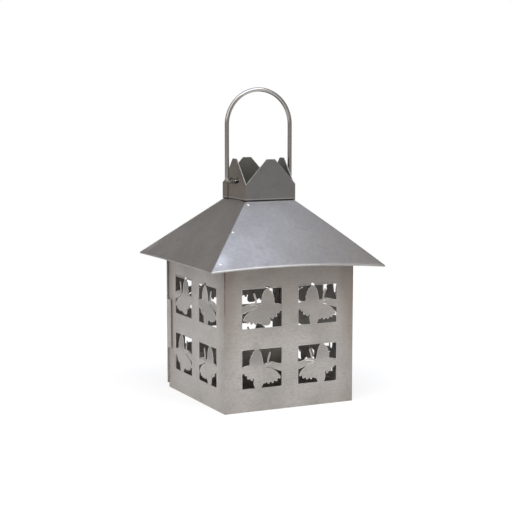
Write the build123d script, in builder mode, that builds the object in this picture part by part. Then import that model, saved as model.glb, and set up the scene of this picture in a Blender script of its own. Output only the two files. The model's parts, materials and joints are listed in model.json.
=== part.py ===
from build123d import *

import os
from math import atan, cos, degrees, sin, tan

os.makedirs("parts", exist_ok=True)

# Punched tin lantern, folded from tin plate. Millimetres, +Z up, the front faces -Y,
# and the origin is at the middle of the floor, on the surface that the lantern stands on.

# Tin plate and body
sheet = 0.6
body_width = 110.0
tray_edge_height = 12.0
tray_sill_height = 27.0
corner_flange = 10.0
jamb_flange = 8.0
header_height = 25.0
fold_gap = 0.3

# Windows, seen from outside
window_width = 33.6
window_height = 30.2
window_margin = 14.4
window_sill = 17.7
window_row_pitch = 46.1
window_corner = 0.6

# The butterfly that is left standing in each window
scallop_depth = 1.4
ripple_depth = 0.7
feeler_width = 1.1
brow_slit_width = 0.6
tip_notch_radius = 2.3

# Roof
eave_width = 146.0
drip_edge_height = 109.8
drip_lip = 1.2
crown_seat_height = 156.6
hip_flange = 6.0
roof_tab = 8.0
neck_height = 4.5

# Crown
crown_width = 43.0
crown_shoulder = 13.0
crown_height = 32.7
petal_tip_width = 7.0
crown_lap = 9.0
seat_gap = 0.1

# Bail
wire_diameter = 3.4
bail_span = 55.0
bail_leg = 44.0
bail_tail = 11.0
bail_tail_inset = 5.5
bail_bend = 3.5
pivot_rise = 15.0
slot_length = 17.0
slot_sag = 1.2
slot_clearance = 0.2

# Door
door_gap = 0.3
door_overhang = 1.3
door_bottom = 3.7
door_top_gap = 1.3
tab_bottom = 33.5
tab_height = 40.0
tab_lap = 7.0

# Door hinges
pin_radius = 1.0
pin_clearance = 0.05
pin_head = 0.8
pin_tail = 0.8
knuckle_length = 6.0
knuckle_gap = 0.3
hinge_spacing = 56.0

# Candle cup
cup_bore = 40.0
cup_height = 8.0

# Worked out from the sizes above
body_half = body_width / 2
inner_half = body_half - sheet
eave_half = eave_width / 2
eave_height = drip_edge_height + drip_lip
crown_half = crown_width / 2
petal_half = crown_half - sheet
neck_half = petal_half - sheet
roof_angle = atan((crown_seat_height - eave_height) / (eave_half - crown_half))


def roof_height(half, depth=0.0):
    """Height of a roof slope at a distance from the middle, at a depth below its outer face."""
    return eave_height + (eave_half - half) * tan(roof_angle) - depth / cos(roof_angle)


wall_top = roof_height(body_half, 2 * sheet) - fold_gap
crown_base = roof_height(petal_half) + seat_gap
petal_base = roof_height(neck_half) + seat_gap
pivot_height = crown_seat_height + pivot_rise

front_face = Plane((0, -body_half, 0), x_dir=(1, 0, 0), z_dir=(0, -1, 0))
left_face = Plane((-body_half, 0, 0), x_dir=(0, -1, 0), z_dir=(-1, 0, 0))
right_face = Plane((body_half, 0, 0), x_dir=(0, 1, 0), z_dir=(1, 0, 0))


# The butterfly window

def motif(across, up):
    """A point of the butterfly, as shares of the window's width and height."""
    return ((across - 0.5) * window_width, (up - 0.5) * window_height)


def scallops(arcs, depth, *points):
    """A wing's wavy edge on a smooth line through points, as arcs that swing out and in, the last one out."""
    line = Spline(*[motif(*point) for point in points], mode=Mode.PRIVATE)
    for arc in range(arcs):
        swing = depth / 2 if (arcs - arc) % 2 == 0 else -depth / 2
        SagittaArc(line @ (arc / arcs), line @ ((arc + 1) / arcs), swing)


def curve(*points):
    """A smooth edge through points of the butterfly."""
    Spline(*[motif(*point) for point in points])


def butterfly_window(tip, foot, notched):
    """Openings of one window round a butterfly that looks to the left.

    tip and foot are the heights of its upper and lower wing ends: outside 0 to 1 they join the frame.
    A notched window is cut out round the upper wing's free end.
    """
    wing_middle = 0.642
    wing_end = (wing_middle, tip)
    frame_left = -0.03
    frame_right = 1.03
    with BuildSketch() as openings:
        RectangleRounded(window_width, window_height, window_corner)
        if notched:
            with Locations(motif(wing_middle, 0.985)):
                Circle(tip_notch_radius)
        with BuildLine():
            curve((frame_right, 0.56), (0.93, 0.583), (0.857, 0.597), (0.80, 0.587))
            scallops(9, ripple_depth, (0.80, 0.587), (0.80, 0.72), (0.77, 0.83), (0.72, 0.92), wing_end)
            curve(wing_end, (0.536, 0.903), (0.486, 0.70), (0.455, 0.59))
            curve((0.455, 0.59), (0.36, 0.632), (0.237, 0.64), (0.115, 0.601), (frame_left, 0.585))
            Line(motif(frame_left, 0.585), motif(frame_left, 0.392))
            curve((frame_left, 0.392), (0.093, 0.418), (0.287, 0.502), (0.39, 0.532))
            Line(motif(0.39, 0.532), motif(0.395, 0.507))
            curve((0.395, 0.507), (0.287, 0.479), (0.125, 0.375), (0.04, 0.25))
            lower_wing = ((0.04, 0.25), (0.13, 0.165), (0.25, 0.125), (0.36, 0.12), (0.46, 0.145))
            scallops(9, scallop_depth, *lower_wing)
            curve((0.46, 0.145), (0.487, 0.09), (0.53, foot))
            Line(motif(0.53, foot), motif(0.65, foot))
            curve((0.65, foot), (0.705, 0.11), (0.708, 0.18), (0.69, 0.265))
            scallops(6, scallop_depth, (0.69, 0.265), (0.79, 0.235), (0.865, 0.295), (0.925, 0.40))
            Line(motif(0.925, 0.40), motif(frame_right, 0.40))
            Line(motif(frame_right, 0.40), motif(frame_right, 0.56))
        make_face(mode=Mode.SUBTRACT)
        with BuildLine() as feeler:
            curve((0.337, 0.61), (0.345, 0.72), (0.322, 0.80), (0.30, 0.885))
        trace(feeler.line, line_width=feeler_width, mode=Mode.SUBTRACT)
        with BuildLine() as brow:
            curve((0.20, 0.592), (0.31, 0.592), (0.425, 0.545))
        trace(brow.line, line_width=brow_slit_width)
    return openings.sketch


joined_tip = 1.03
free_tip = 0.995
joined_foot = -0.03
free_foot = 0.06
column = body_half - window_margin - window_width / 2
lower_row = window_sill + window_height / 2
upper_row = lower_row + window_row_pitch

looks_left_low = butterfly_window(joined_tip, joined_foot, False)
looks_left_high = butterfly_window(free_tip, free_foot, True)
looks_right_low = mirror(looks_left_low, about=Plane.YZ)
looks_right_high = mirror(butterfly_window(free_tip, joined_foot, True), about=Plane.YZ)

with BuildSketch() as butterflies:
    with Locations((-column, upper_row)):
        add(looks_left_high)
    with Locations((column, upper_row)):
        add(looks_right_high)
    with Locations((-column, lower_row)):
        add(looks_right_low)
    with Locations((column, lower_row)):
        add(looks_left_low)


# Walls

hip_slant = atan(1 / cos(roof_angle))
tab_half = body_half - roof_tab - hip_flange / sin(hip_slant) - 2 * sheet


def roof_tab_profile(outer_half):
    """Section of a wall's top tab: up the wall, then in along the underside of the roof slope."""
    tab_end = outer_half - roof_tab
    inside = outer_half - sheet
    return [
        (outer_half, wall_top - sheet),
        (outer_half, roof_height(outer_half, sheet)),
        (tab_end, roof_height(tab_end, sheet)),
        (tab_end, roof_height(tab_end, 2 * sheet)),
        (inside, roof_height(inside, 2 * sheet)),
        (inside, wall_top - sheet),
    ]


with BuildPart() as front_wall:
    with BuildSketch(front_face):
        with Locations((0, wall_top / 2)):
            Rectangle(body_width, wall_top)
        add(butterflies.sketch, mode=Mode.SUBTRACT)
    extrude(amount=-sheet)
    with BuildSketch(Plane.YZ):
        with BuildLine():
            Polyline([(-half, height) for half, height in roof_tab_profile(body_half)], close=True)
        make_face()
    extrude(amount=tab_half, both=True)

hinge_x = inner_half + pin_radius + pin_clearance + sheet
hinge_y = body_half + door_gap + pin_radius + pin_clearance + sheet
knuckle_bore = pin_radius + pin_clearance
hinge_pitch = knuckle_length + knuckle_gap
door_top = drip_edge_height - door_top_gap
hinge_middle = (door_bottom + door_top) / 2
hinge_heights = [hinge_middle - hinge_spacing / 2, hinge_middle + hinge_spacing / 2]
wall_knuckles = [height + step for height in hinge_heights for step in (-hinge_pitch, hinge_pitch)]

flange_foot = tray_edge_height + fold_gap
flange_height = wall_top - flange_foot

with BuildPart() as left_wall:
    with BuildSketch(left_face):
        with Locations((-sheet / 2, wall_top / 2)):
            Rectangle(body_width - sheet, wall_top)
        add(butterflies.sketch, mode=Mode.SUBTRACT)
    extrude(amount=-sheet)
    with Locations((-inner_half, -inner_half, flange_foot)):
        Box(corner_flange, sheet, flange_height, align=(Align.MIN, Align.MIN, Align.MIN))
    with Locations((-inner_half, inner_half, 0)):
        Box(jamb_flange, sheet, wall_top, align=(Align.MIN, Align.MIN, Align.MIN))
    with BuildSketch(Plane.XZ):
        with BuildLine():
            Polyline([(-half, height) for half, height in roof_tab_profile(body_half)], close=True)
        make_face()
    extrude(amount=tab_half, both=True)

with BuildPart() as right_wall:
    with BuildSketch(right_face):
        with Locations((sheet / 2, wall_top / 2)):
            Rectangle(body_width - sheet, wall_top)
        add(butterflies.sketch, mode=Mode.SUBTRACT)
    extrude(amount=-sheet)
    with Locations((inner_half, -inner_half, flange_foot)):
        Box(corner_flange, sheet, flange_height, align=(Align.MAX, Align.MIN, Align.MIN))
    with Locations((inner_half, inner_half, 0)):
        Box(jamb_flange, sheet, wall_top, align=(Align.MAX, Align.MIN, Align.MIN))
    # The flange is cut away where the sheet runs on into a knuckle
    with Locations(*[(inner_half, inner_half, height) for height in wall_knuckles]):
        Box(
            jamb_flange, sheet, knuckle_length + 2 * knuckle_gap,
            align=(Align.MAX, Align.MIN, Align.CENTER), mode=Mode.SUBTRACT,
        )
    for height in wall_knuckles:
        with BuildSketch(Plane.XY.offset(height - knuckle_length / 2)):
            with Locations((inner_half, inner_half)):
                Rectangle(sheet, hinge_y - inner_half, align=(Align.MIN, Align.MIN))
            with Locations((hinge_x, hinge_y)):
                Circle(knuckle_bore + sheet)
                Circle(knuckle_bore, mode=Mode.SUBTRACT)
        extrude(amount=knuckle_length)
    with BuildSketch(Plane.XZ):
        with BuildLine():
            Polyline(roof_tab_profile(body_half), close=True)
        make_face()
    extrude(amount=tab_half, both=True)

with BuildPart() as rear_header:
    with Locations((0, inner_half, wall_top)):
        Box(2 * inner_half, sheet, header_height, align=(Align.CENTER, Align.MAX, Align.MAX))
    with BuildSketch(Plane.YZ):
        with BuildLine():
            Polyline(roof_tab_profile(inner_half), close=True)
        make_face()
    extrude(amount=tab_half, both=True)


# Floor

with BuildPart() as base_tray:
    with BuildSketch():
        Rectangle(2 * inner_half, 2 * inner_half)
    extrude(amount=tray_edge_height)
    with BuildSketch(Plane.XY.offset(sheet)):
        Rectangle(2 * (inner_half - sheet), 2 * (inner_half - sheet))
    extrude(amount=tray_edge_height, mode=Mode.SUBTRACT)
    # The rear edge stands higher, as a sill that the door closes over
    with Locations((0, inner_half, 0)):
        Box(2 * inner_half, sheet, tray_sill_height, align=(Align.CENTER, Align.MAX, Align.MIN))

with BuildPart() as candle_cup:
    with BuildSketch(Plane.XY.offset(sheet)):
        Circle(cup_bore / 2 + sheet)
    extrude(amount=cup_height)
    with BuildSketch(Plane.XY.offset(2 * sheet)):
        Circle(cup_bore / 2)
    extrude(amount=cup_height, mode=Mode.SUBTRACT)


# Door and its hinges

door_left = -body_half - door_overhang
door_right = inner_half - knuckle_gap
door_inside = body_half + door_gap
door_face = Plane((0, door_inside + sheet, 0), x_dir=(-1, 0, 0), z_dir=(0, 1, 0))

with BuildPart() as door:
    with BuildSketch(door_face):
        with Locations((-door_right, door_bottom)):
            Rectangle(door_right - door_left, door_top - door_bottom, align=(Align.MIN, Align.MIN))
        add(butterflies.sketch, mode=Mode.SUBTRACT)
    extrude(amount=-sheet)
    with Locations((door_left, door_inside + sheet, tab_bottom)):
        Box(
            sheet, tab_lap + door_gap + sheet, tab_height,
            align=(Align.MIN, Align.MAX, Align.MIN),
        )
    for height in hinge_heights:
        with BuildSketch(Plane.XY.offset(height - knuckle_length / 2)):
            with Locations((door_right - sheet, door_inside)):
                Rectangle(hinge_x - door_right + sheet, sheet, align=(Align.MIN, Align.MIN))
            with Locations((hinge_x, hinge_y)):
                Circle(knuckle_bore + sheet)
                Circle(knuckle_bore, mode=Mode.SUBTRACT)
        extrude(amount=knuckle_length)


hinge_half = hinge_pitch + knuckle_length / 2


def hinge_pin(height):
    """A pin through the three knuckles of one hinge, hung by its round head."""
    with BuildPart() as pin:
        with BuildSketch(Plane((hinge_x, hinge_y, height - hinge_half - pin_tail))):
            Circle(pin_radius)
        extrude(amount=2 * hinge_half + pin_tail)
        with BuildSketch(Plane((hinge_x, hinge_y, height + hinge_half))):
            Circle(knuckle_bore + sheet)
        extrude(amount=pin_head)
        fillet(pin.faces().sort_by(Axis.Z)[-1].edges(), pin_head * 0.6)
        chamfer(pin.faces().sort_by(Axis.Z)[0].edges(), pin_radius * 0.3)
    return pin


lower_hinge_pin = hinge_pin(hinge_heights[0])
upper_hinge_pin = hinge_pin(hinge_heights[1])


# Roof

with BuildPart() as roof_block:
    with BuildSketch(Plane.XY.offset(eave_height)):
        Rectangle(eave_width, eave_width)
    with BuildSketch(Plane.XY.offset(roof_height(neck_half))):
        Rectangle(2 * neck_half, 2 * neck_half)
    loft()


def slope(x, y, depth):
    """Plane at a depth below the slope that faces the horizontal direction x, y, facing out."""
    outward = Vector(x * sin(roof_angle), y * sin(roof_angle), cos(roof_angle))
    origin = Vector(x * eave_half, y * eave_half, eave_height) - outward * depth
    return Plane(origin, z_dir=outward)


with BuildPart() as roof_front:
    add(roof_block.part)
    split(bisect_by=slope(0, -1, sheet), keep=Keep.TOP)
    split(bisect_by=Plane.XY.offset(roof_height(petal_half)), keep=Keep.BOTTOM)
    with Locations((0, -eave_half, eave_height)):
        Box(eave_width, sheet, drip_lip, align=(Align.CENTER, Align.MIN, Align.MAX))
    with Locations((0, -petal_half, roof_height(petal_half))):
        Box(2 * (neck_half - sheet), sheet, neck_height, align=(Align.CENTER, Align.MIN, Align.MIN))

with BuildPart() as roof_rear:
    mirror(roof_front.part, about=Plane.XZ)


def hip_flange_part(y):
    """Flange of the left slope along one hip, lying under the front (y = -1) or rear (y = 1) slope."""
    under = slope(0, y, sheet)
    along = Vector(eave_half - crown_half, -y * (eave_half - crown_half), crown_seat_height - eave_height)
    inward = under.z_dir.cross(along).normalized()
    if inward.X < 0:
        inward = -inward
    corner = Vector(-eave_half, y * eave_half, eave_height)
    with BuildPart() as flange:
        add(roof_block.part)
        split(bisect_by=under, keep=Keep.BOTTOM)
        split(bisect_by=slope(0, y, 2 * sheet), keep=Keep.TOP)
        split(bisect_by=Plane(corner + inward * hip_flange, z_dir=inward), keep=Keep.BOTTOM)
        split(bisect_by=Plane.XY.offset(roof_height(petal_half)), keep=Keep.BOTTOM)
    return flange.part


hip_flanges = [hip_flange_part(-1), hip_flange_part(1)]

with BuildPart() as roof_left:
    add(roof_block.part)
    split(bisect_by=slope(-1, 0, sheet), keep=Keep.TOP)
    split(bisect_by=slope(0, -1, sheet), keep=Keep.BOTTOM)
    split(bisect_by=slope(0, 1, sheet), keep=Keep.BOTTOM)
    add(hip_flanges)
    with Locations((-eave_half, 0, eave_height)):
        Box(sheet, eave_width - 4 * sheet, drip_lip, align=(Align.MIN, Align.CENTER, Align.MAX))
    with Locations((-neck_half, 0, roof_height(neck_half, sheet))):
        Box(
            sheet, 2 * (neck_half - sheet), neck_height + sheet,
            align=(Align.MIN, Align.CENTER, Align.MIN),
        )

with BuildPart() as roof_right:
    mirror(roof_left.part, about=Plane.YZ)


# Crown

def petal_outline(half, base):
    """A petal plate's outline: square up to the shoulder, then in to a blunt tip."""
    shoulder = crown_seat_height + crown_shoulder
    tip = crown_seat_height + crown_height
    tip_half = petal_tip_width / 2
    Polyline(
        (-half, base), (half, base), (half, shoulder), (tip_half, tip),
        (-tip_half, tip), (-half, shoulder), close=True,
    )


with BuildPart() as crown_front:
    with BuildSketch(Plane.XZ.offset(crown_half)):
        with BuildLine():
            petal_outline(crown_half, crown_base)
        make_face()
    extrude(amount=-sheet)
    lap_height = crown_seat_height + crown_shoulder - crown_base
    for side, align in ((-crown_half, Align.MIN), (crown_half, Align.MAX)):
        with Locations((side, -crown_half, crown_base)):
            Box(sheet, crown_lap, lap_height, align=(align, Align.MIN, Align.MIN))

with BuildPart() as crown_rear:
    mirror(crown_front.part, about=Plane.XZ)

slot_half = slot_length / 2 - wire_diameter / 2

with BuildPart() as crown_left:
    with BuildSketch(Plane.YZ.offset(-petal_half)):
        with BuildLine():
            petal_outline(petal_half, petal_base)
        make_face()
        with BuildLine() as slot_line:
            ThreePointArc(
                (-slot_half, pivot_height + slot_sag),
                (0, pivot_height),
                (slot_half, pivot_height + slot_sag),
            )
        SlotArc(slot_line.edge(), wire_diameter + 2 * slot_clearance, mode=Mode.SUBTRACT)
    extrude(amount=sheet)

with BuildPart() as crown_right:
    mirror(crown_left.part, about=Plane.YZ)


# Bail

leg_x = bail_span / 2
tail_x = neck_half - bail_tail_inset
leg_top = pivot_height + bail_leg

with BuildPart() as bail:
    with BuildLine() as bail_line:
        left_run = FilletPolyline(
            (-tail_x, 0, pivot_height - bail_tail), (-tail_x, 0, pivot_height),
            (-leg_x, 0, pivot_height), (-leg_x, 0, leg_top), radius=bail_bend,
        )
        ThreePointArc((-leg_x, 0, leg_top), (0, 0, leg_top + leg_x), (leg_x, 0, leg_top))
        mirror(left_run, about=Plane.YZ)
    with BuildSketch(Plane((-tail_x, 0, pivot_height - bail_tail))):
        Circle(wire_diameter / 2)
    sweep(path=bail_line.line)


pieces = {
    "base_tray": base_tray,
    "candle_cup": candle_cup,
    "front_wall": front_wall,
    "left_wall": left_wall,
    "right_wall": right_wall,
    "rear_header": rear_header,
    "door": door,
    "lower_hinge_pin": lower_hinge_pin,
    "upper_hinge_pin": upper_hinge_pin,
    "roof_front": roof_front,
    "roof_rear": roof_rear,
    "roof_left": roof_left,
    "roof_right": roof_right,
    "crown_front": crown_front,
    "crown_rear": crown_rear,
    "crown_left": crown_left,
    "crown_right": crown_right,
    "bail": bail,
}
for name, piece in pieces.items():
    piece.part.label = name
    export_step(piece.part, f"parts/{name}.step")
print("roof slope", round(degrees(roof_angle), 2), "degrees, wall top at", round(wall_top, 2))
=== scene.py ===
# %% [markdown]
# A punched tin lantern, dressed for a picture. The CAD model already holds every sheet at its real size.
# This lesson adds what a drawing leaves out: the finish of each tin, the bright rims of the cut-outs,
# the spot welds, the spring in a folded roof and a bail bent from one wire.

import json
import math

import bmesh
import bpy
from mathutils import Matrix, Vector


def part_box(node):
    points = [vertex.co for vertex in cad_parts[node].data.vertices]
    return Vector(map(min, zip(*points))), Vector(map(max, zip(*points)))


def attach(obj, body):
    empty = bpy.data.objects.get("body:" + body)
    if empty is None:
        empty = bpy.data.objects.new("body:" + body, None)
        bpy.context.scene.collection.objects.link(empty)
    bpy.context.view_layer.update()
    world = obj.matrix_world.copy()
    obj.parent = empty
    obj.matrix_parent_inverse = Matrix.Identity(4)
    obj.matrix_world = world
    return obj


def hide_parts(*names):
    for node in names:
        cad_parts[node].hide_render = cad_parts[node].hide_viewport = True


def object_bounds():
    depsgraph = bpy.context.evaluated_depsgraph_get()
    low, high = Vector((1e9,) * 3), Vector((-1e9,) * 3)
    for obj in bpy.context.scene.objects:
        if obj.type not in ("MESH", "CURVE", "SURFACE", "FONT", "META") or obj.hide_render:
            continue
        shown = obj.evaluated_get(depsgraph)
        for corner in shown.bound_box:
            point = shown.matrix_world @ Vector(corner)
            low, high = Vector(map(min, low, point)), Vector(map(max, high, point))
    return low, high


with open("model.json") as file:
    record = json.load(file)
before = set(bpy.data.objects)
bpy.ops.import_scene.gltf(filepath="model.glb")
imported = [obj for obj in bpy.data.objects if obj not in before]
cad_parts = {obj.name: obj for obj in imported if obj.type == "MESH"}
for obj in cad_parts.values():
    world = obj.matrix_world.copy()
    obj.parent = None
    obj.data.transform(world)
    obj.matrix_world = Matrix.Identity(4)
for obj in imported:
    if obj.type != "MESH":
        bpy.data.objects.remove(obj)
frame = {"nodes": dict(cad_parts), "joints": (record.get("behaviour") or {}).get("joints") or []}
nodes = frame["nodes"]
cad_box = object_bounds()
mm = 0.001

# %% [markdown]
# The sizes that the looks share are read from the frame, so the looks follow the model when it changes.
# The sheet's thickness is the depth of a side plate of the crown, which has no fold.

# %% Read the sizes that the looks share
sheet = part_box("crown_left")[1].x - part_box("crown_left")[0].x
body_half = -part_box("front_wall")[0].y
eave_half = -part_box("roof_front")[0].y
drip_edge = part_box("roof_front")[0].z
crown_half = -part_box("crown_front")[0].y
crown_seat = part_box("crown_front")[0].z
side_petal = -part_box("crown_left")[0].x
bail_low, bail_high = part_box("bail")
bail_pivot = next(joint for joint in frame["joints"] if joint["name"] == "bail_swing")


def in_mm(*lengths):
    """Lengths as rounded millimetres, for printing."""
    return [round(length / mm, 2) for length in lengths]


print("sheet, body half and eave half", in_mm(sheet, body_half, eave_half), "mm")

# %% [markdown]
# The windows stand in two rows on every wall. Their places show in the front wall's own points:
# inside its plain margin only the cuts have points, and the widest gap between their heights parts the rows.

# %% Find the windows
plain_margin = 5 * mm
cut_points = [
    vert.co for vert in nodes["front_wall"].data.vertices
    if abs(vert.co.x) < body_half - plain_margin and plain_margin < vert.co.z < drip_edge - plain_margin
]
window_inner = min(abs(point.x) for point in cut_points)
window_outer = max(abs(point.x) for point in cut_points)
levels = sorted(point.z for point in cut_points)
gap = max(range(1, len(levels)), key=lambda index: levels[index] - levels[index - 1])
window_rows = ((levels[0], levels[gap - 1]), (levels[gap], levels[-1]))
print("windows across", in_mm(window_inner, window_outer), "mm")
print("rows of windows", [in_mm(*row) for row in window_rows], "mm")

# %% [markdown]
# The camera stands where the photographer stood: a little to the left of the front and slightly above,
# far enough away for the upright edges to stay nearly parallel. A long lens fills the picture from there.

# %% Camera
def stand(holder, place, target):
    """Put a camera or a lamp at a place, looking at a target."""
    holder.location = place
    holder.rotation_euler = (Vector(target) - Vector(place)).to_track_quat("-Z", "Y").to_euler()
    bpy.context.scene.collection.objects.link(holder)


camera_place = Vector((-458.37, -941.12, 235.52)) * mm
camera_target = Vector((-1.85, 0.9, 111.52)) * mm
camera_data = bpy.data.cameras.new("camera")
camera_data.lens = 93.06
camera_data.sensor_width = 36
camera = bpy.data.objects.new("camera", camera_data)
stand(camera, camera_place, camera_target)
bpy.context.scene.camera = camera
bpy.context.scene.view_settings.view_transform = "Standard"
print("camera at", [round(x, 3) for x in camera_place])

# %% [markdown]
# Node trees are easier to read as sums than as boxes and noodles. One small class wraps an output socket:
# arithmetic on it adds Math nodes, and its node method adds any other node, settings first and sockets after.
# The same class serves materials, the world and Geometry Nodes.

# %% A wire between nodes
def pick(sockets, key):
    """A socket by its number, its identifier or its name."""
    if isinstance(key, int):
        return sockets[key]
    for socket in sockets:
        if socket.identifier == key:
            return socket
    return sockets[key]


class Wire:
    """An output socket of a node tree, or the tree alone where nothing is wired yet."""

    def __init__(self, tree, socket=None):
        self.tree = tree
        self.socket = socket

    def node(self, kind, settings=None, sockets=None, out=0):
        """Add a node of any kind and return one of its outputs."""
        node = self.tree.nodes.new(kind)
        for key, value in (settings or {}).items():
            setattr(node, key, value)
        for key, value in (sockets or {}).items():
            target = pick(node.inputs, key)
            if isinstance(value, Wire):
                self.tree.links.new(value.socket, target)
            else:
                target.default_value = value
        return Wire(self.tree, pick(node.outputs, out)) if len(node.outputs) else node

    def math(self, operation, first, second=0.0):
        return self.node("ShaderNodeMath", {"operation": operation}, {0: first, 1: second})

    def __add__(self, other):
        return self.math("ADD", self, other)

    def __radd__(self, other):
        return self.math("ADD", other, self)

    def __sub__(self, other):
        return self.math("SUBTRACT", self, other)

    def __rsub__(self, other):
        return self.math("SUBTRACT", other, self)

    def __mul__(self, other):
        return self.math("MULTIPLY", self, other)

    def __rmul__(self, other):
        return self.math("MULTIPLY", other, self)

    def apart(self, axes="XYZ"):
        """The coordinates of a vector."""
        return [self.node("ShaderNodeSeparateXYZ", sockets={0: self}, out=axis) for axis in axes]

    def ramp(self, low, high):
        """0 below low, 1 above high, with a soft passage between them."""
        settings = {"interpolation_type": "SMOOTHSTEP"}
        return self.node("ShaderNodeMapRange", settings, {"Value": self, "From Min": low, "From Max": high})

    def blend(self, under, over):
        """A colour that goes from under to over as this value goes from 0 to 1."""
        settings = {"data_type": "RGBA"}
        sockets = {"Factor_Float": self, "A_Color": opaque(under), "B_Color": opaque(over)}
        return self.node("ShaderNodeMix", settings, sockets, "Result_Color")


def opaque(colour):
    """A colour as a socket takes it: wires stay as they are."""
    return colour if isinstance(colour, Wire) else (*colour, 1)


def bare(block):
    """The emptied node tree of a material or a world."""
    block.use_nodes = True
    block.node_tree.nodes.clear()
    return Wire(block.node_tree)


print("wire ready")

# %% [markdown]
# The lantern stands in a white studio. For the camera the world is plain white, and the tin sees a pale sweep
# that ends a little above the horizon, so that its faces mirror light below and a dimmer room above.
# Light that comes from the world itself needs no backdrop to be modelled.

# %% World
backdrop_white = (1.0, 1.0, 1.0)
room_grey = (0.37, 0.362, 0.358)
mirrored_room = (0.312, 0.294, 0.280)
mirrored_sweep = (0.43, 0.42, 0.41)
sweep_edge = (0.05, 0.30)

world = bpy.data.worlds.new("studio")
studio = bare(world)
direction = studio.node("ShaderNodeTexCoord", out="Generated")
(sky_height,) = direction.apart("Z")
seen_by_tin = sky_height.ramp(*sweep_edge).blend(mirrored_sweep, mirrored_room)
camera_ray = studio.node("ShaderNodeLightPath", out="Is Camera Ray")
glossy_ray = studio.node("ShaderNodeLightPath", out="Is Glossy Ray")
sky = camera_ray.blend(glossy_ray.blend(room_grey, seen_by_tin), backdrop_white)
background = studio.node("ShaderNodeBackground", sockets={"Color": sky, "Strength": 1.0})
studio.node("ShaderNodeOutputWorld", sockets={"Surface": background})
bpy.context.scene.world = world
print("world", world.name, "with", len(world.node_tree.nodes), "nodes")

# %% [markdown]
# The floor is pale and takes the shadow. Near the lantern the camera sees it mostly as its own white,
# which keeps the shadow faint, and further away it turns into the white of the backdrop.
# Lamps strong enough to make a floor that white would burn out the tin.

# %% Floor
floor_reach = 3.0
floor_grey = (0.80, 0.80, 0.80)
shadow_grey = (0.40, 0.40, 0.40)
near_glow = 0.64
white_from, white_beyond = 0.2, 0.5
floor_mesh = bpy.data.meshes.new("floor")
floor_corners = [(x * floor_reach, y * floor_reach, 0) for x, y in ((-1, -1), (1, -1), (1, 1), (-1, 1))]
floor_mesh.from_pydata(floor_corners, [], [(0, 1, 2, 3)])
floor = bpy.data.objects.new("floor", floor_mesh)
bpy.context.scene.collection.objects.link(floor)

floor_paint = bpy.data.materials.new("pale_floor")
paint = bare(floor_paint)
pale = paint.node("ShaderNodeBsdfDiffuse", sockets={"Color": opaque(floor_grey)})
faint_shadow = paint.node("ShaderNodeBsdfDiffuse", sockets={"Color": opaque(shadow_grey)})
own_white = paint.node("ShaderNodeEmission", sockets={"Color": opaque(backdrop_white), "Strength": near_glow})
near_floor = paint.node("ShaderNodeAddShader", sockets={0: faint_shadow, 1: own_white})
far_floor = paint.node("ShaderNodeEmission", sockets={"Color": opaque(backdrop_white), "Strength": 1.0})
floor_place = paint.node("ShaderNodeTexCoord", out="Object")
away = paint.node("ShaderNodeVectorMath", {"operation": "LENGTH"}, {0: floor_place}, "Value")
fade = away.ramp(white_from, white_beyond)
shown = paint.node("ShaderNodeMixShader", sockets={0: fade, 1: near_floor, 2: far_floor})
seen_by_camera = paint.node("ShaderNodeLightPath", out="Is Camera Ray")
surface = paint.node("ShaderNodeMixShader", sockets={0: seen_by_camera, 1: pale, 2: shown})
paint.node("ShaderNodeOutputMaterial", sockets={"Surface": surface})
floor_mesh.materials.append(floor_paint)
print("floor", 2 * floor_reach, "m across")

# %% [markdown]
# Three soft boxes light the tin. A cool one hangs overhead, where the front slope of the roof mirrors it.
# The key stands high at the front left and is large, so that no slope mirrors it as a burnt-out patch.
# A smaller fill at the front right lights the front wall and draws the highlight along the top of the bail.

# %% Lamps
def soft_box(name, place, target, width, power, colour):
    """A square lamp that looks from its place at a target. Its width is in metres and its power in watts."""
    lamp = bpy.data.lights.new(name, "AREA")
    lamp.shape = "RECTANGLE"
    lamp.size = width
    lamp.size_y = width
    lamp.energy = power
    lamp.color = colour
    holder = bpy.data.objects.new(name, lamp)
    holder.visible_camera = False
    stand(holder, place, target)


straight_down = (0.03, -0.05, 0.0)
lantern_middle = (0, 0, 0.12)
bail_top = (0.0, 0.0, 0.24)
soft_box("cool_overhead", (0.03, -0.05, 0.95), straight_down, width=0.8, power=2.2, colour=(0.65, 0.76, 1.0))
soft_box("key", (-1.02, -0.60, 1.32), lantern_middle, width=2.2, power=26, colour=(1.0, 0.985, 0.965))
soft_box("front_fill", (0.36, -0.79, 1.07), bail_top, width=0.8, power=6.5, colour=(1.0, 0.99, 0.98))

# %% [markdown]
# Tin plate is thin steel with a rolled skin. Close up it shows fine streaks along the rolling direction,
# from further away it shows clouds where hands, heat and damp have dulled it, and the skin isn't quite flat.
# A picture of tin would show its seams and its repeats, so the tin is mixed from noise. One function
# makes it, and each part of the lantern gets its own tone, grain and dullness.

# %% Rolled tin
def noise(place, scale, detail, stretch=(1, 1, 1)):
    """Soft noise that can be drawn out along an axis."""
    mapped = place.node("ShaderNodeMapping", sockets={"Vector": place, "Scale": stretch})
    return place.node("ShaderNodeTexNoise", sockets={"Vector": mapped, "Scale": scale, "Detail": detail})


cloud_scale, patch_scale, pit_scale, wave_scale = 32.0, 85.0, 650.0, 18.0
pit_stretch = (0.5, 0.5, 1.0)
wave_depth = 1.2 * mm


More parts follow.
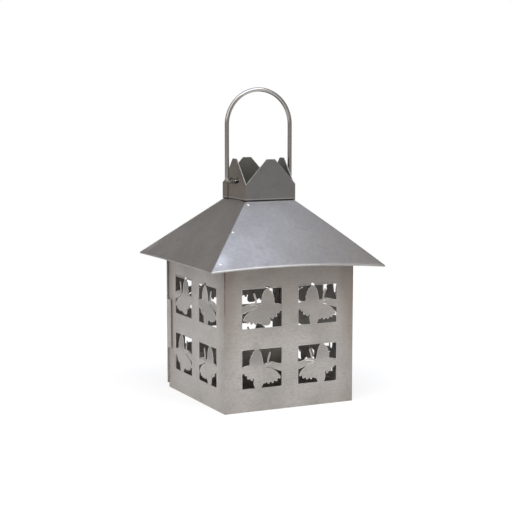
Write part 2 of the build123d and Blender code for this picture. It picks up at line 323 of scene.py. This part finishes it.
def tin(name, pale, dull, stain, rolling, rough, metal=0.9, waviness=0.25, grain=0.22, mottle=0.0,
        attribute=None, marks_and_light=None):
    """Rolled tin plate. rolling stretches the streaks, and rough is its smoothest and dullest value.

    grain is the share of the streaks in the tone, and mottle is the strength of fine pits in it.
    The last argument is a function that adds marks of use and painted light to a colour at a place.
    """
    material = bpy.data.materials.new(name)
    tree = bare(material)
    if attribute:
        place = tree.node("ShaderNodeAttribute", {"attribute_name": attribute}, out="Vector")
    else:
        place = tree.node("ShaderNodeTexCoord", out="Object")
    streaks = noise(place, 1.0, 4.0, rolling)
    clouds = noise(place, cloud_scale, 3.0)
    patches = noise(place, patch_scale, 4.0).ramp(0.56, 0.74)
    tone = ((1 - grain) * clouds + grain * streaks).ramp(0.28, 0.72)
    pits = noise(place, pit_scale, 2.0, pit_stretch).ramp(0.35, 0.70)
    colour = (0.35 * patches + mottle * pits).blend(tone.blend(dull, pale), stain)
    colour = marks_and_light(place, colour) if marks_and_light else colour
    roughness = rough[0] + (rough[1] - rough[0]) * (0.6 * (1 - tone) + 0.4 * patches)
    skin = 0.85 * noise(place, wave_scale, 1.0) + 0.15 * streaks
    bump = tree.node("ShaderNodeBump", sockets={"Strength": waviness, "Distance": wave_depth, "Height": skin})
    sockets = {"Base Color": colour, "Roughness": roughness, "Metallic": metal, "Normal": bump}
    shader = tree.node("ShaderNodeBsdfPrincipled", sockets=sockets)
    tree.node("ShaderNodeOutputMaterial", sockets={"Surface": shader})
    return material


print("tin can be rolled")

# %% [markdown]
# Marks of use and painted light go on the tin in one way. Each is a share of a second colour, which ramps
# along the sheet lay over the tin, so no mark has to be painted by hand. A wall gets painted shade towards
# its top, under the eave, is darker along its corners and rusts in its seams, and its side plates are painted
# paler for the light they catch. A wing that was bent when it was cut catches less light, and since the sheet
# stays flat, that shade is painted.

# %% Marks of use and painted light on the walls
def bent_wings(x, y, z, along):
    """Where a butterfly leans out of the light: its upper wing, but high at the left front its lower one."""
    between_rows = 0.5 * (window_rows[0][1] + window_rows[1][0])
    on_left, on_front = (axis.math("LESS_THAN", axis, 0.0) for axis in (x, y))
    turned = on_left * on_front * z.math("GREATER_THAN", z, between_rows)
    bent = 0.0
    for low, high in window_rows:
        middle = 0.5 * (low + high)
        in_row = z.ramp(low - mm, low) * (1 - z.ramp(high - mm, high))
        upper_half = z.ramp(middle - 2 * mm, middle + 8 * mm)
        bent = bent + in_row * (upper_half * (1 - turned) + 0.7 * (1 - upper_half) * turned)
    past_inner = along.ramp(window_inner - mm, window_inner)
    past_outer = along.ramp(window_outer, window_outer + mm)
    return bent * past_inner * (1 - past_outer) * (0.65 - 0.3 * x.ramp(-mm, mm))


def wall_marks_and_light(place, colour):
    """Side plates painted paler, painted shade under the eave and on bent wings, darker corners, rust in
    seams.
    """
    side_light_pale, brown_and_shade = (0.68, 0.65, 0.62), (0.30, 0.262, 0.232)
    wing_shade, rust_red = (0.24, 0.227, 0.216), (0.13, 0.055, 0.035)
    x, y, z = place.apart()
    aside = place.math("ABSOLUTE", x)
    ahead = place.math("ABSOLUTE", y)
    along = place.math("MINIMUM", aside, ahead)
    on_sheet = 1 - aside.ramp(body_half + 0.1 * mm, body_half + 0.2 * mm)
    front_or_rear = ahead.ramp(body_half - 1 * mm, body_half)
    uneven = 0.7 + 0.6 * noise(place, 45.0, 3.0)
    # Painted shade: the wall darkens towards its top, under the eave, most on the front and rear.
    eave_shade = z.ramp(0.35 * drip_edge, drip_edge) * (0.20 + 0.42 * front_or_rear)
    # The walls are darker along their corners, more above the foot and towards the right.
    corner = along.ramp(0.68 * body_half, body_half) * (0.15 + 0.85 * on_sheet)
    corner_weight = 0.45 + 0.55 * z.ramp(0.15 * drip_edge, 0.45 * drip_edge) + 0.3 * x.ramp(0, body_half)
    # Painted light: the side walls are made paler for the light they catch.
    side_lit = (0.22 - 0.22 * front_or_rear).blend(colour, side_light_pale)
    # The painted shade at the top and the darker corners share one brown tone.
    browned_and_shaded = ((eave_shade + 0.52 * corner * corner_weight) * uneven).blend(side_lit, brown_and_shade)
    # Painted shade on the bent wings, whose sheet stays flat.
    shaded = (bent_wings(x, y, z, along) * uneven).blend(browned_and_shaded, wing_shade)
    seam = along.ramp(body_half - 1.3 * mm, body_half - 0.4 * mm)
    spots = noise(place, 1.0, 3.0, (400, 400, 90)).ramp(0.34, 0.56)
    rust = seam * spots * on_sheet * z.ramp(0.5 * drip_edge, 0.9 * drip_edge)
    return (0.75 * rust).blend(shaded, rust_red)


print("marks of use for the walls")

# %% [markdown]
# The floor of the tray is darker, and less so up its edges. On the roof the fold of the hem has a painted
# highlight at the front and the rear, another painted highlight rings the lowest weld, and smoke darkens the
# sheet towards the crown. These marks go by the place on the unfolded sheet, which every slope carries with
# it.

# %% Marks of use and painted light on the floor and the roof
def floor_wear(place, colour):
    """Darker on the tray's floor, less towards the top of its edges."""
    (height,) = place.apart("Z")
    dark_tone = (0.14, 0.122, 0.105)
    return (0.75 - 0.75 * height.ramp(3 * mm, 24 * mm)).blend(colour, dark_tone)


def roof_marks_and_highlights(place, colour):
    """A painted highlight on the fold at front and rear and round the lowest weld, and smoke at the top."""
    highlight_pale, smoke = (0.80, 0.80, 0.80), (0.26, 0.25, 0.245)
    along, up = place.apart("XY")
    x, y = place.node("ShaderNodeTexCoord", out="Object").apart("XY")
    front_or_rear = place.math("GREATER_THAN", place.math("ABSOLUTE", y), place.math("ABSOLUTE", x))
    # Painted highlight: a bright line along the fold of the hem at front and rear, fading towards the right.
    fold = up.ramp(-0.8 * mm, -0.5 * mm) * (1 - up.ramp(0.1 * mm, 0.4 * mm))
    fold_highlight = fold * front_or_rear * (1 - 0.8 * along.ramp(-0.4 * eave_half, 0.6 * eave_half))
    # Painted highlight: a pale ring round the lowest weld.
    weld = (-0.88 * eave_half, 0.15 * eave_half, 0)
    from_weld = place.node("ShaderNodeVectorMath", {"operation": "DISTANCE"}, {0: place, 1: weld}, "Value")
    weld_highlight = 1 - from_weld.ramp(1 * mm, 12 * mm)
    smoked = (0.3 * up.ramp(0.35 * eave_half, 0.9 * eave_half)).blend(colour, smoke)
    return (0.75 * fold_highlight + 0.45 * weld_highlight).blend(smoked, highlight_pale)


print("marks of use for the floor and the roof")

# %% [markdown]
# The crown is the chimney. Its side plates are browned, its inside is smoked, a painted shadow lies where it
# meets the roof and a painted highlight on the fold above it. The bail has a painted highlight at the top of
# its arch and is darker where its tails hang inside the crown.

# %% Marks of use and painted light on the crown and the bail
def crown_marks_and_light(place, colour):
    """Browned side plates, a smoked inside, a painted shadow along the foot and a painted highlight on the
    fold above it.
    """
    brown_and_shade, smoke = (0.25, 0.207, 0.168), (0.21, 0.21, 0.192)
    fold_highlight_grey, foot_shadow_grey = (0.45, 0.44, 0.43), (0.02, 0.018, 0.016)
    x, y, z = place.apart()
    aside = place.math("ABSOLUTE", x)
    ahead = place.math("ABSOLUTE", y)
    zones = 0.35 + 0.6 * noise(place, 1.0, 2.0, (160, 160, 12))
    on_side = aside.ramp(side_petal - 0.4 * mm, side_petal - 0.1 * mm)
    browned_and_shaded = (on_side * zones).blend(colour, brown_and_shade)
    within_sides = 1 - aside.ramp(side_petal - sheet, side_petal - 0.5 * sheet)
    within_front = 1 - ahead.ramp(crown_half - sheet, crown_half - 0.5 * sheet)
    smoked = (within_sides * within_front).blend(browned_and_shaded, smoke)
    above = z - crown_seat
    # Painted highlight: a pale line on the fold just above the foot.
    fold_highlight = above.ramp(0.7 * mm, 1.1 * mm) * (1 - above.ramp(1.5 * mm, 2.0 * mm))
    # Painted shadow: a dark line along the foot, where the crown meets the roof.
    foot_shadow = 1 - above.ramp(0.6 * mm, 1.0 * mm)
    return (0.92 * foot_shadow).blend((0.5 * fold_highlight).blend(smoked, fold_highlight_grey), foot_shadow_grey)


def bail_marks_and_highlight(place, colour):
    """Darker tails of the wire inside the crown, and a painted highlight on the top of the arch."""
    top_highlight_pale, dark_tone = (0.50, 0.49, 0.478), (0.03, 0.027, 0.024)
    x, z = place.apart("XZ")
    half_way = 0.5 * (bail_low.z + bail_high.z)
    # The tails of the wire inside the crown are darker.
    inside = 1 - place.math("ABSOLUTE", x).ramp(side_petal - 1 * mm, side_petal)
    dark_tails = inside * (1 - z.ramp(half_way - 5 * mm, half_way))
    # Painted highlight: the top of the arch is paler.
    top_highlit = (0.8 * z.ramp(bail_high.z - 14 * mm, bail_high.z - 3 * mm)).blend(colour, top_highlight_pale)
    return (0.9 * dark_tails).blend(top_highlit, dark_tone)


print("marks of use for the crown and the bail")

# %% [markdown]
# Each tin below has a pale tone, a dull one and a stain, then the stretch of its streaks and its roughness.
# The walls are matte and warm, the roof is smoother, the crown is dark, and cut edges are bright.

# %% The tins of the lantern
level_streaks = (14, 14, 1500)
wall_tin = tin(
    "wall_tin", (0.530, 0.507, 0.482), (0.412, 0.393, 0.372), (0.33, 0.29, 0.26), level_streaks, (0.48, 0.64),
    metal=0.55, mottle=0.34, marks_and_light=wall_marks_and_light,
)
roof_tin = tin(
    "roof_tin", (0.455, 0.438, 0.426), (0.357, 0.344, 0.334), (0.27, 0.257, 0.243), (420, 14, 1),
    (0.30, 0.42), grain=0.08, mottle=0.25, attribute="sheet_place", marks_and_light=roof_marks_and_highlights,
)
crown_tin = tin(
    "crown_tin", (0.22, 0.212, 0.212), (0.17, 0.164, 0.164), (0.13, 0.12, 0.11), level_streaks, (0.40, 0.55),
    marks_and_light=crown_marks_and_light,
)
floor_tin = tin(
    "floor_tin", (0.80, 0.75, 0.695), (0.66, 0.615, 0.565), (0.49, 0.43, 0.38), level_streaks, (0.45, 0.62),
    metal=0.5, marks_and_light=floor_wear,
)
pin_steel = tin(
    "pin_steel", (0.42, 0.40, 0.38), (0.32, 0.305, 0.29), (0.20, 0.17, 0.15), (60, 60, 500), (0.32, 0.45)
)
bail_wire = tin(
    "bail_wire", (0.36, 0.347, 0.335), (0.33, 0.318, 0.306), (0.28, 0.262, 0.245), (20, 20, 20), (0.19, 0.24),
    waviness=0.02, marks_and_light=bail_marks_and_highlight,
)
cut_edge = tin(
    "cut_edge", (0.72, 0.70, 0.67), (0.60, 0.58, 0.55), (0.45, 0.42, 0.39), (300, 300, 300), (0.28, 0.40)
)
worn_edge = tin(
    "worn_edge", (0.50, 0.485, 0.47), (0.41, 0.395, 0.38), (0.30, 0.28, 0.26), (300, 300, 300), (0.34, 0.46)
)
print("finishes", len(bpy.data.materials))

# %% [markdown]
# The walls, the door, the floor and the crown are flat plates whose CAD shape is already right.
# They stay, and only take their finish. The roof and the bail take theirs too, although finer meshes
# replace them below.

# %% Finish the CAD sheets
finishes = {
    wall_tin: ("front_wall", "left_wall", "right_wall", "rear_header", "door"),
    floor_tin: ("base_tray", "candle_cup"),
    crown_tin: ("crown_front", "crown_rear", "crown_left", "crown_right"),
    pin_steel: ("lower_hinge_pin", "upper_hinge_pin"),
    roof_tin: ("roof_front", "roof_rear", "roof_left", "roof_right"),
    bail_wire: ("bail",),
}
for finish, names in finishes.items():
    for name in names:
        for holder in nodes[name].material_slots:
            holder.material = finish
print("finished", sum(len(names) for names in finishes.values()), "nodes")

# %% [markdown]
# What repeats or runs along a line is grown by Geometry Nodes: the rims along the cuts, the welds, the wire
# and the roof's four slopes. Each tree has named inputs, and its result is kept as a plain mesh,
# because a finished piece has no modifier left on it.

# %% Helpers for Geometry Nodes
def start_tree(name, inputs):
    """A Geometry Nodes tree with a geometry input and output, and named inputs of given kinds."""
    tree = bpy.data.node_groups.new(name, "GeometryNodeTree")
    tree.interface.new_socket("Geometry", in_out="INPUT", socket_type="NodeSocketGeometry")
    for label, kind in inputs.items():
        tree.interface.new_socket(label, in_out="INPUT", socket_type="NodeSocket" + kind)
    tree.interface.new_socket("Geometry", in_out="OUTPUT", socket_type="NodeSocketGeometry")
    root = Wire(tree)
    return root, {label: root.node("NodeGroupInput", out=label) for label in ["Geometry", *inputs]}


def end_tree(root, geometry, material):
    """Realize what was instanced, give it its material and send it out."""
    real = root.node("GeometryNodeRealizeInstances", sockets={"Geometry": geometry})
    smooth = root.node("GeometryNodeSetShadeSmooth", sockets={"Geometry": real})
    dressed = root.node("GeometryNodeSetMaterial", sockets={"Geometry": smooth, "Material": material})
    root.node("NodeGroupOutput", sockets={"Geometry": dressed})
    return root.tree


def plain(carrier):
    """The evaluated mesh of an object, on a new object that takes over its name."""
    bpy.context.view_layer.update()
    depsgraph = bpy.context.evaluated_depsgraph_get()
    mesh = bpy.data.meshes.new_from_object(carrier.evaluated_get(depsgraph))
    name = carrier.name
    bpy.data.objects.remove(carrier)
    mesh.name = name
    piece = bpy.data.objects.new(name, mesh)
    bpy.context.scene.collection.objects.link(piece)
    return piece


def grow(name, tree, source, **inputs):
    """Run a tree on a mesh or a curve and keep the result as a plain mesh."""
    carrier = bpy.data.objects.new(name, source)
    bpy.context.scene.collection.objects.link(carrier)
    modifier = carrier.modifiers.new("grow", "NODES")
    modifier.node_group = tree
    for item in tree.interface.items_tree:
        label = item.name.lower().replace(" ", "_")
        if item.in_out == "INPUT" and label in inputs:
            modifier[item.identifier] = inputs[label]
    return plain(carrier)


print("trees can grow")

# %% [markdown]
# A punch leaves a bright, slightly rolled rim round every opening. It is far too thin to draw by hand,
# so the openings are traced on the CAD sheets themselves: the edges where a flat face ends are walked
# into loops, and a thin bead follows each loop.

# %% Trace the cuts of a sheet
same_place = 0.002 * mm


def face_loops(name, axis, level):
    """Loops of points round the flat face of a sheet at a level of an axis, the widest loop first."""
    copy = bmesh.new()
    copy.from_mesh(nodes[name].data)
    bmesh.ops.remove_doubles(copy, verts=copy.verts, dist=same_place)
    flat = {
        face for face in copy.faces
        if all(abs(vert.co[axis] - level) < 10 * same_place for vert in face.verts)
    }
    rim = [edge for edge in copy.edges if sum(face in flat for face in edge.link_faces) == 1]
    onward = {}
    for edge in rim:
        for vert in edge.verts:
            onward.setdefault(vert, []).append(edge)
    loops = []
    left = set(rim)
    while left:
        edge = left.pop()
        first, vert = edge.verts
        loop = [first.co.copy()]
        while vert != first:
            loop.append(vert.co.copy())
            edge = next(other for other in onward[vert] if other in left)
            left.discard(edge)
            vert = edge.other_vert(vert)
        loops.append(loop)
    copy.free()
    return sorted(loops, key=lambda loop: -max((a - loop[0]).length for a in loop))


def line_mesh(name, lines, closed):
    """A mesh of edges alone, along lines of points."""
    mesh = bpy.data.meshes.new(name)
    points = []
    edges = []
    for line in lines:
        first = len(points)
        points += [tuple(point) for point in line]
        edges += [(first + index, first + index + 1) for index in range(len(line) - 1)]
        if closed:
            edges.append((first + len(line) - 1, first))
    mesh.from_pydata(points, edges, [])
    return mesh


front_cuts = face_loops("front_wall", 1, -body_half)[1:]
print("openings in the front wall", len(front_cuts))

# %% [markdown]
# The bead needs three nodes of its own: one turns the traced edges into curves, one draws a small circle and
# one sweeps it along them. The same tree serves walls, door, petals and slots.

# %% Rims along the cuts
root, given = start_tree("cut_rim", {"Radius": "Float", "Sides": "Int", "Material": "Material"})
curves = root.node("GeometryNodeMeshToCurve", sockets={"Mesh": given["Geometry"]})
ring = root.node(
    "GeometryNodeCurvePrimitiveCircle", sockets={"Resolution": given["Sides"], "Radius": given["Radius"]}
)
bead = root.node("GeometryNodeCurveToMesh", sockets={"Curve": curves, "Profile Curve": ring})
rim_tree = end_tree(root, bead, given["Material"])

rim_radius = 0.2 * mm
door_gap = 0.3 * mm
door_face = body_half + door_gap + sheet
walls = {
    "front_wall": (1, -body_half, "lantern_body"),
    "left_wall": (0, -body_half, "lantern_body"),
    "right_wall": (0, body_half, "lantern_body"),
    "door": (1, door_face, "door"),
}
for name, (axis, level, body) in walls.items():
    cuts = face_loops(name, axis, level)[1:]
    source = line_mesh(name + "_cuts", cuts, True)
    rims = grow(name + "_rims", rim_tree, source, radius=rim_radius, sides=6, material=cut_edge)
    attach(rims, body)
    print(rims.name, len(cuts), "cuts", len(rims.data.polygons), "faces")

# %% [markdown]
# The petals of the crown show the same line along their slanted edges and their tips, duller and thinner
# than on the walls, and the slots for the bail have a lip. Upright edges are folds, and the painted shadow
# along the foot hides it, so of each traced outline only the runs that go sideways above the foot are kept.

# %% Rims of the crown
crown_plates = {
    "crown_front": (1, -crown_half),
    "crown_rear": (1, crown_half),
    "crown_left": (0, -side_petal),
    "crown_right": (0, side_petal),
}
for name, (axis, level) in crown_plates.items():
    outline, *slots = face_loops(name, axis, level)
    runs = [
        (start, end) for start, end in zip(outline, outline[1:] + outline[:1])
        if (end - start).xy.length > 0.1 * mm and max(start.z, end.z) > crown_seat + 1 * mm
    ]
    source = line_mesh(name, runs, False)
    rims = grow(name + "_edges", rim_tree, source, radius=0.8 * rim_radius, sides=6, material=worn_edge)
    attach(rims, "lantern_body")
    if slots:
        lips = grow(
            name + "_slot_lip", rim_tree, line_mesh(name, slots, True), radius=0.9 * rim_radius, sides=8,
            material=crown_tin,
        )
        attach(lips, "lantern_body")
    print(rims.name, len(runs), "runs,", len(slots), "slots")

# %% [markdown]
# The roof is four sheets folded to one rule. A slope narrows evenly from the eave to the crown, has a short
# hem folded down at the eave and a lip turned up under the crown. Welding the hips pulls a thin sheet tight
# at its corners, so the eave springs up a little in the middle and the slope bulges by less than
# a millimetre. A grid takes that rule: its columns run across and its rows run up the sheet.

# %% A tree for one roof slope
root, given = start_tree("roof_slope", {
    "Facing": "Float", "Eave Half": "Float", "Seat Half": "Float", "Eave Height": "Float",
    "Seat Height": "Float", "Hem": "Float", "Neck Half": "Float", "Neck Height": "Float",
    "Hip Inset": "Float", "Bow": "Float", "Dish": "Float", "Droop": "Float", "Droop Side": "Float",
    "Columns": "Int", "Rows": "Int", "Material": "Material",
})
grid_sockets = {"Size X": 2.0, "Size Y": 1.0, "Vertices X": given["Columns"], "Vertices Y": given["Rows"]}
grid = root.node("GeometryNodeMeshGrid", sockets=grid_sockets, out="Mesh")
across, up_grid = root.node("GeometryNodeInputPosition").apart("XY")
row = (up_grid + 0.5) * (given["Rows"] - 1)
rise_sockets = {"Value": row, "From Min": 1.0, "From Max": given["Rows"] - 2}
rise = root.node("ShaderNodeMapRange", sockets=rise_sockets)
in_hem = root.math("LESS_THAN", row, 0.5)
in_neck = root.math("GREATER_THAN", row, given["Rows"] - 1.5)
half = given["Eave Half"] + (given["Seat Half"] - given["Eave Half"]) * rise
slope_side = across * (half - given["Hip Inset"])
side = slope_side * (1 - in_neck) + across * given["Neck Half"] * in_neck
belly = 1 - across * across
near_eave = (1 - rise) * (1 - rise)
droop = given["Droop"] * (1 + given["Droop Side"] * across) * 0.5
lift = (given["Bow"] * belly - droop) * near_eave
sag = given["Dish"] * belly * 4 * rise * (1 - rise)
climb = given["Seat Height"] - given["Eave Height"]
run = given["Eave Half"] - given["Seat Half"]
slope_height = given["Eave Height"] + climb * rise + lift - sag
folded_height = slope_height - given["Hem"] * in_hem + given["Neck Height"] * in_neck
shaped = root.node("ShaderNodeCombineXYZ", sockets={"X": side, "Y": 0 - half, "Z": folded_height})
length = root.math("SQRT", climb * climb + run * run)
up_sheet = rise * length - given["Hem"] * in_hem
on_sheet = root.node("ShaderNodeCombineXYZ", sockets={"X": side, "Y": up_sheet})
marked = root.node(
    "GeometryNodeStoreNamedAttribute", {"data_type": "FLOAT_VECTOR", "domain": "POINT"},
    {"Geometry": grid, "Name": "sheet_place", "Value": on_sheet},
)
moved = root.node("GeometryNodeSetPosition", sockets={"Geometry": marked, "Position": shaped})
turn = root.node("ShaderNodeCombineXYZ", sockets={"Z": given["Facing"]})
turned = root.node("GeometryNodeTransform", sockets={"Geometry": moved, "Rotation": turn})
slope_tree = end_tree(root, turned, given["Material"])
print("slope tree", len(slope_tree.nodes), "nodes")

# %% [markdown]
# The left and right slopes stop under the front and rear ones and turn a flange along the hip for the welds.
# It is extruded from the border of the grown mesh, because a grid's rule would have to bend twice for it.
# The sheet gets its thickness last, and its bare edges take the bright finish of a cut.

# %% Thickness and flanges of a slope
hem = 1.2 * mm
neck_height = 4.5 * mm
hip_flange = 6.0 * mm
hip_clearance = 0.1 * mm
edge_round = 0.12 * mm
bevel_from = math.radians(35)
sharp_from = math.radians(50)
eave_height = drip_edge + hem
neck_half = side_petal - sheet
front_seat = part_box("roof_front")[1].z - neck_height
pitch = (front_seat - eave_height) / (eave_half - side_petal)
side_seat = eave_height + pitch * (eave_half - neck_half)
roof_angle = math.atan(pitch)
hip_inset = sheet / math.sin(roof_angle) + hip_clearance


def thicken(piece, thickness, edge_finish):
    """Give a sheet its thickness inwards and round its edges, then keep the plain mesh."""
    piece.data.materials.append(edge_finish)
    wall = piece.modifiers.new("thickness", "SOLIDIFY")
    wall.thickness = thickness
    wall.offset = -1
    wall.use_even_offset = True
    wall.material_offset_rim = 1
    rounding = piece.modifiers.new("rounding", "BEVEL")
    rounding.width = edge_round
    rounding.segments = 2
    rounding.limit_method = "ANGLE"
    rounding.angle_limit = bevel_from
    done = plain(piece)
    done.data.shade_smooth()
    done.data.set_sharp_from_angle(angle=sharp_from)
    return done


nearly_along = 0.2


def turn_flange(piece, facing):
    """Fold a narrow flange down along both hips of a slope, its ends cut along the eave."""
    sheet_mesh = bmesh.new()
    sheet_mesh.from_mesh(piece.data)
    outward = Vector((math.sin(facing), -math.cos(facing), 0))
    sideways = Vector((math.cos(facing), math.sin(facing), 0))
    for hand in (-1, 1):
        hip = (-outward - hand * sideways + Vector((0, 0, pitch))).normalized()
        along_eave = -outward * hip_flange / hip.cross(outward).length
        border = [
            edge for edge in sheet_mesh.edges
            if edge.is_boundary
            and (edge.verts[0].co - edge.verts[1].co).normalized().cross(hip).length < nearly_along
            and all(vert.co.dot(sideways) * hand > 0 and vert.co.z > eave_height + hem for vert in edge.verts)
        ]
        grown = bmesh.ops.extrude_edge_only(sheet_mesh, edges=border)["geom"]
        fold = [item for item in grown if isinstance(item, bmesh.types.BMVert)]
        bmesh.ops.translate(sheet_mesh, verts=fold, vec=along_eave)
    bmesh.ops.recalc_face_normals(sheet_mesh, faces=sheet_mesh.faces)
    if sum(face.normal.z for face in sheet_mesh.faces) < 0:
        bmesh.ops.reverse_faces(sheet_mesh, faces=sheet_mesh.faces)
    sheet_mesh.to_mesh(piece.data)
    sheet_mesh.free()


print("pitch of the roof", round(math.degrees(roof_angle), 1), "degrees")

# %% [markdown]
# Each slope is grown with its own small bow, because no two sheets spring alike, and the right front corner
# has been knocked down a little. One tree serves all four, turned by a quarter each.

# %% Roof slopes
slopes = {
    "roof_front": (0.0, 2.9 * mm, 1, False),
    "roof_right": (90.0, 1.1 * mm, -1, True),
    "roof_rear": (180.0, 1.6 * mm, 0, False),
    "roof_left": (270.0, 0.6 * mm, 0, True),
}
corner_droop = 2.6 * mm
bulge = 0.4 * mm
columns, rows = 49, 37
roof = {}
for name, (facing, bow, bent_side, tucked) in slopes.items():
    slope = grow(
        name + "_sheet", slope_tree, bpy.data.meshes.new(name), facing=math.radians(facing),
        eave_half=eave_half, eave_height=eave_height, hem=hem, seat_half=neck_half if tucked else side_petal,
        seat_height=side_seat if tucked else front_seat, neck_half=neck_half - sheet,
        neck_height=neck_height, hip_inset=hip_inset if tucked else 0.0, bow=bow, dish=-bulge,
        droop=corner_droop * abs(bent_side), droop_side=float(bent_side), columns=columns, rows=rows,
        material=roof_tin,
    )
    if tucked:
        turn_flange(slope, math.radians(facing))
    roof[name] = thicken(slope, sheet, cut_edge)
    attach(roof[name], "lantern_body")
    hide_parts(name)
    print(roof[name].name, len(roof[name].data.polygons), "faces")

# %% [markdown]
# Spot welds hold the sheets together. On the roof they show as small bright nubs beside the hips, on the
# walls as faint pads where the inner flanges and the floor's edge are caught. A tree puts one low dome on
# each point, turned to the sheet's own normal, with a little chance in its size.

# %% A tree for spot welds
root, given = start_tree("spot_welds", {
    "Radius": "Float", "Height": "Float", "Uneven": "Float", "Seed": "Int", "Material": "Material",
})
dome = root.node("GeometryNodeMeshIcoSphere", sockets={"Radius": 1.0, "Subdivisions": 3}, out="Mesh")
flat_size = root.node("ShaderNodeCombineXYZ", sockets={
    "X": given["Radius"], "Y": given["Radius"], "Z": given["Height"],
})
nub = root.node("GeometryNodeTransform", sockets={"Geometry": dome, "Scale": flat_size})
facing = root.node(
    "GeometryNodeInputNamedAttribute", {"data_type": "FLOAT_VECTOR"}, {"Name": "facing"}, "Attribute"
)
turned = root.node("FunctionNodeAlignRotationToVector", {"axis": "Z"}, {"Vector": facing}, "Rotation")
chance = root.node("FunctionNodeRandomValue", {"data_type": "FLOAT"}, {
    2: 1 - given["Uneven"], 3: 1 + given["Uneven"], "Seed": given["Seed"],
}, 1)
sizes = root.node("ShaderNodeCombineXYZ", sockets={"X": chance, "Y": chance, "Z": 1.0})
placed = root.node("GeometryNodeInstanceOnPoints", sockets={
    "Points": given["Geometry"], "Instance": nub, "Rotation": turned, "Scale": sizes,
})
weld_tree = end_tree(root, placed, given["Material"])


def weld_points(name, spots):
    """A mesh of points, each with the direction that its sheet faces."""
    mesh = bpy.data.meshes.new(name)
    mesh.from_pydata([tuple(place) for place, facing in spots], [], [])
    directions = mesh.attributes.new("facing", "FLOAT_VECTOR", "POINT")
    for slot, (place, facing) in zip(directions.data, spots):
        slot.vector = facing
    return mesh


print("weld tree", len(weld_tree.nodes), "nodes")

# %% [markdown]
# The roof's welds sit along the left hip of the front slope and of the rear one. The slopes have sprung,
# so each weld is first placed on the flat slope and then moved to the closest point of the bent sheet.
# The walls are flat, and their welds stand in columns by the corners and in a row along the foot.

# %% Spot welds on the roof and the walls
hip_places = ((0.11, 3.6 * mm), (0.55, 1.6 * mm), (0.95, 3.4 * mm))
hip_spots = []
for name, outward in (("roof_front", -1), ("roof_rear", 1)):
    for rise, from_hip in hip_places:
        half = eave_half + (side_petal - eave_half) * rise
        level = eave_height + (front_seat - eave_height) * rise
        near = Vector((outward * (half - from_hip), outward * half, level))
        hip_spots.append(roof[name].closest_point_on_mesh(near)[1:3])
hip_welds = grow(
    "hip_welds", weld_tree, weld_points("hip_spots", hip_spots), radius=1.1 * mm, height=0.35 * mm,
    uneven=0.25, seed=3, material=cut_edge,
)
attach(hip_welds, "lantern_body")

column_heights = [level * mm for level in (11, 45, 66, 82)]
from_corner = 4.0 * mm
foot_height = 4.5 * mm
foot_places = (-26.5 * mm, 26.5 * mm)
front, left, right = Vector((0, -1, 0)), Vector((-1, 0, 0)), Vector((1, 0, 0))
wall_spots = []
for outward, sideways in ((front, right), (left, front), (right, -front)):
    face = outward * body_half
    places = [(hand * (body_half - from_corner), level) for hand in (-1, 1) for level in column_heights]
    places += [(along, foot_height) for along in foot_places]
    wall_spots += [(face + sideways * along + Vector((0, 0, level)), outward) for along, level in places]
wall_welds = grow(
    "wall_welds", weld_tree, weld_points("wall_spots", wall_spots), radius=1.3 * mm, height=0.09 * mm,
    uneven=0.3, seed=8, material=wall_tin,
)
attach(wall_welds, "lantern_body")
print("welds", len(hip_spots), "on the roof and", len(wall_spots), "on the walls")

# %% [markdown]
# The bail is one length of steel wire: a tail inside each side petal, a bend out through the slot, a leg and
# a round arch. A line of eight corners says all of that, if each corner knows its own bend. The tree rounds
# the corners and sweeps the wire's section along the line.

# %% Bail
bend_steps = 28
root, given = start_tree("bent_wire", {"Radius": "Float", "Sides": "Int", "Material": "Material"})
line = root.node("GeometryNodeMeshToCurve", sockets={"Mesh": given["Geometry"]})
bend = root.node("GeometryNodeInputNamedAttribute", {"data_type": "FLOAT"}, {"Name": "bend"}, "Attribute")
bent = root.node("GeometryNodeFilletCurve", {"mode": "POLY"}, {
    "Curve": line, "Count": bend_steps, "Radius": bend, "Limit Radius": True,
})
section = root.node(
    "GeometryNodeCurvePrimitiveCircle", sockets={"Resolution": given["Sides"], "Radius": given["Radius"]}
)
sweep_sockets = {"Curve": bent, "Profile Curve": section, "Fill Caps": True}
swept = root.node("GeometryNodeCurveToMesh", sockets=sweep_sockets)
wire_tree = end_tree(root, swept, given["Material"])

wire_radius = bail_high.y
pivot_height = bail_pivot["pos_m"][2]
leg = bail_high.x - wire_radius
tail_inset = 5.5 * mm
tail = neck_half - tail_inset
small_bend = 3.5 * mm
arch_top = bail_high.z - wire_radius
half_route = [
    (tail, bail_low.z, 0), (tail, pivot_height, small_bend),
    (leg, pivot_height, small_bend), (leg, arch_top, leg),
]
route = [(-x, z, bend) for x, z, bend in half_route] + half_route[::-1]
bail_line = line_mesh("bail_line", [[(x, 0, z) for x, z, bend in route]], False)
bends = bail_line.attributes.new("bend", "FLOAT", "POINT")
for corner, (x, z, bend) in zip(bends.data, route):
    corner.value = bend
bail = grow("bail_wire", wire_tree, bail_line, radius=wire_radius, sides=32, material=bail_wire)
bail.data.set_sharp_from_angle(angle=sharp_from)
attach(bail, "bail")
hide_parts("bail")
print("bail", len(bail.data.polygons), "faces, arch at", round(bail.dimensions.z / mm, 1), "mm")

# %% [markdown]
# Last the CAD model's box is printed: the dressed lantern has to fill the same box.

# %% Measure and finish
print("CAD box", [in_mm(*corner) for corner in cad_box], "mm")
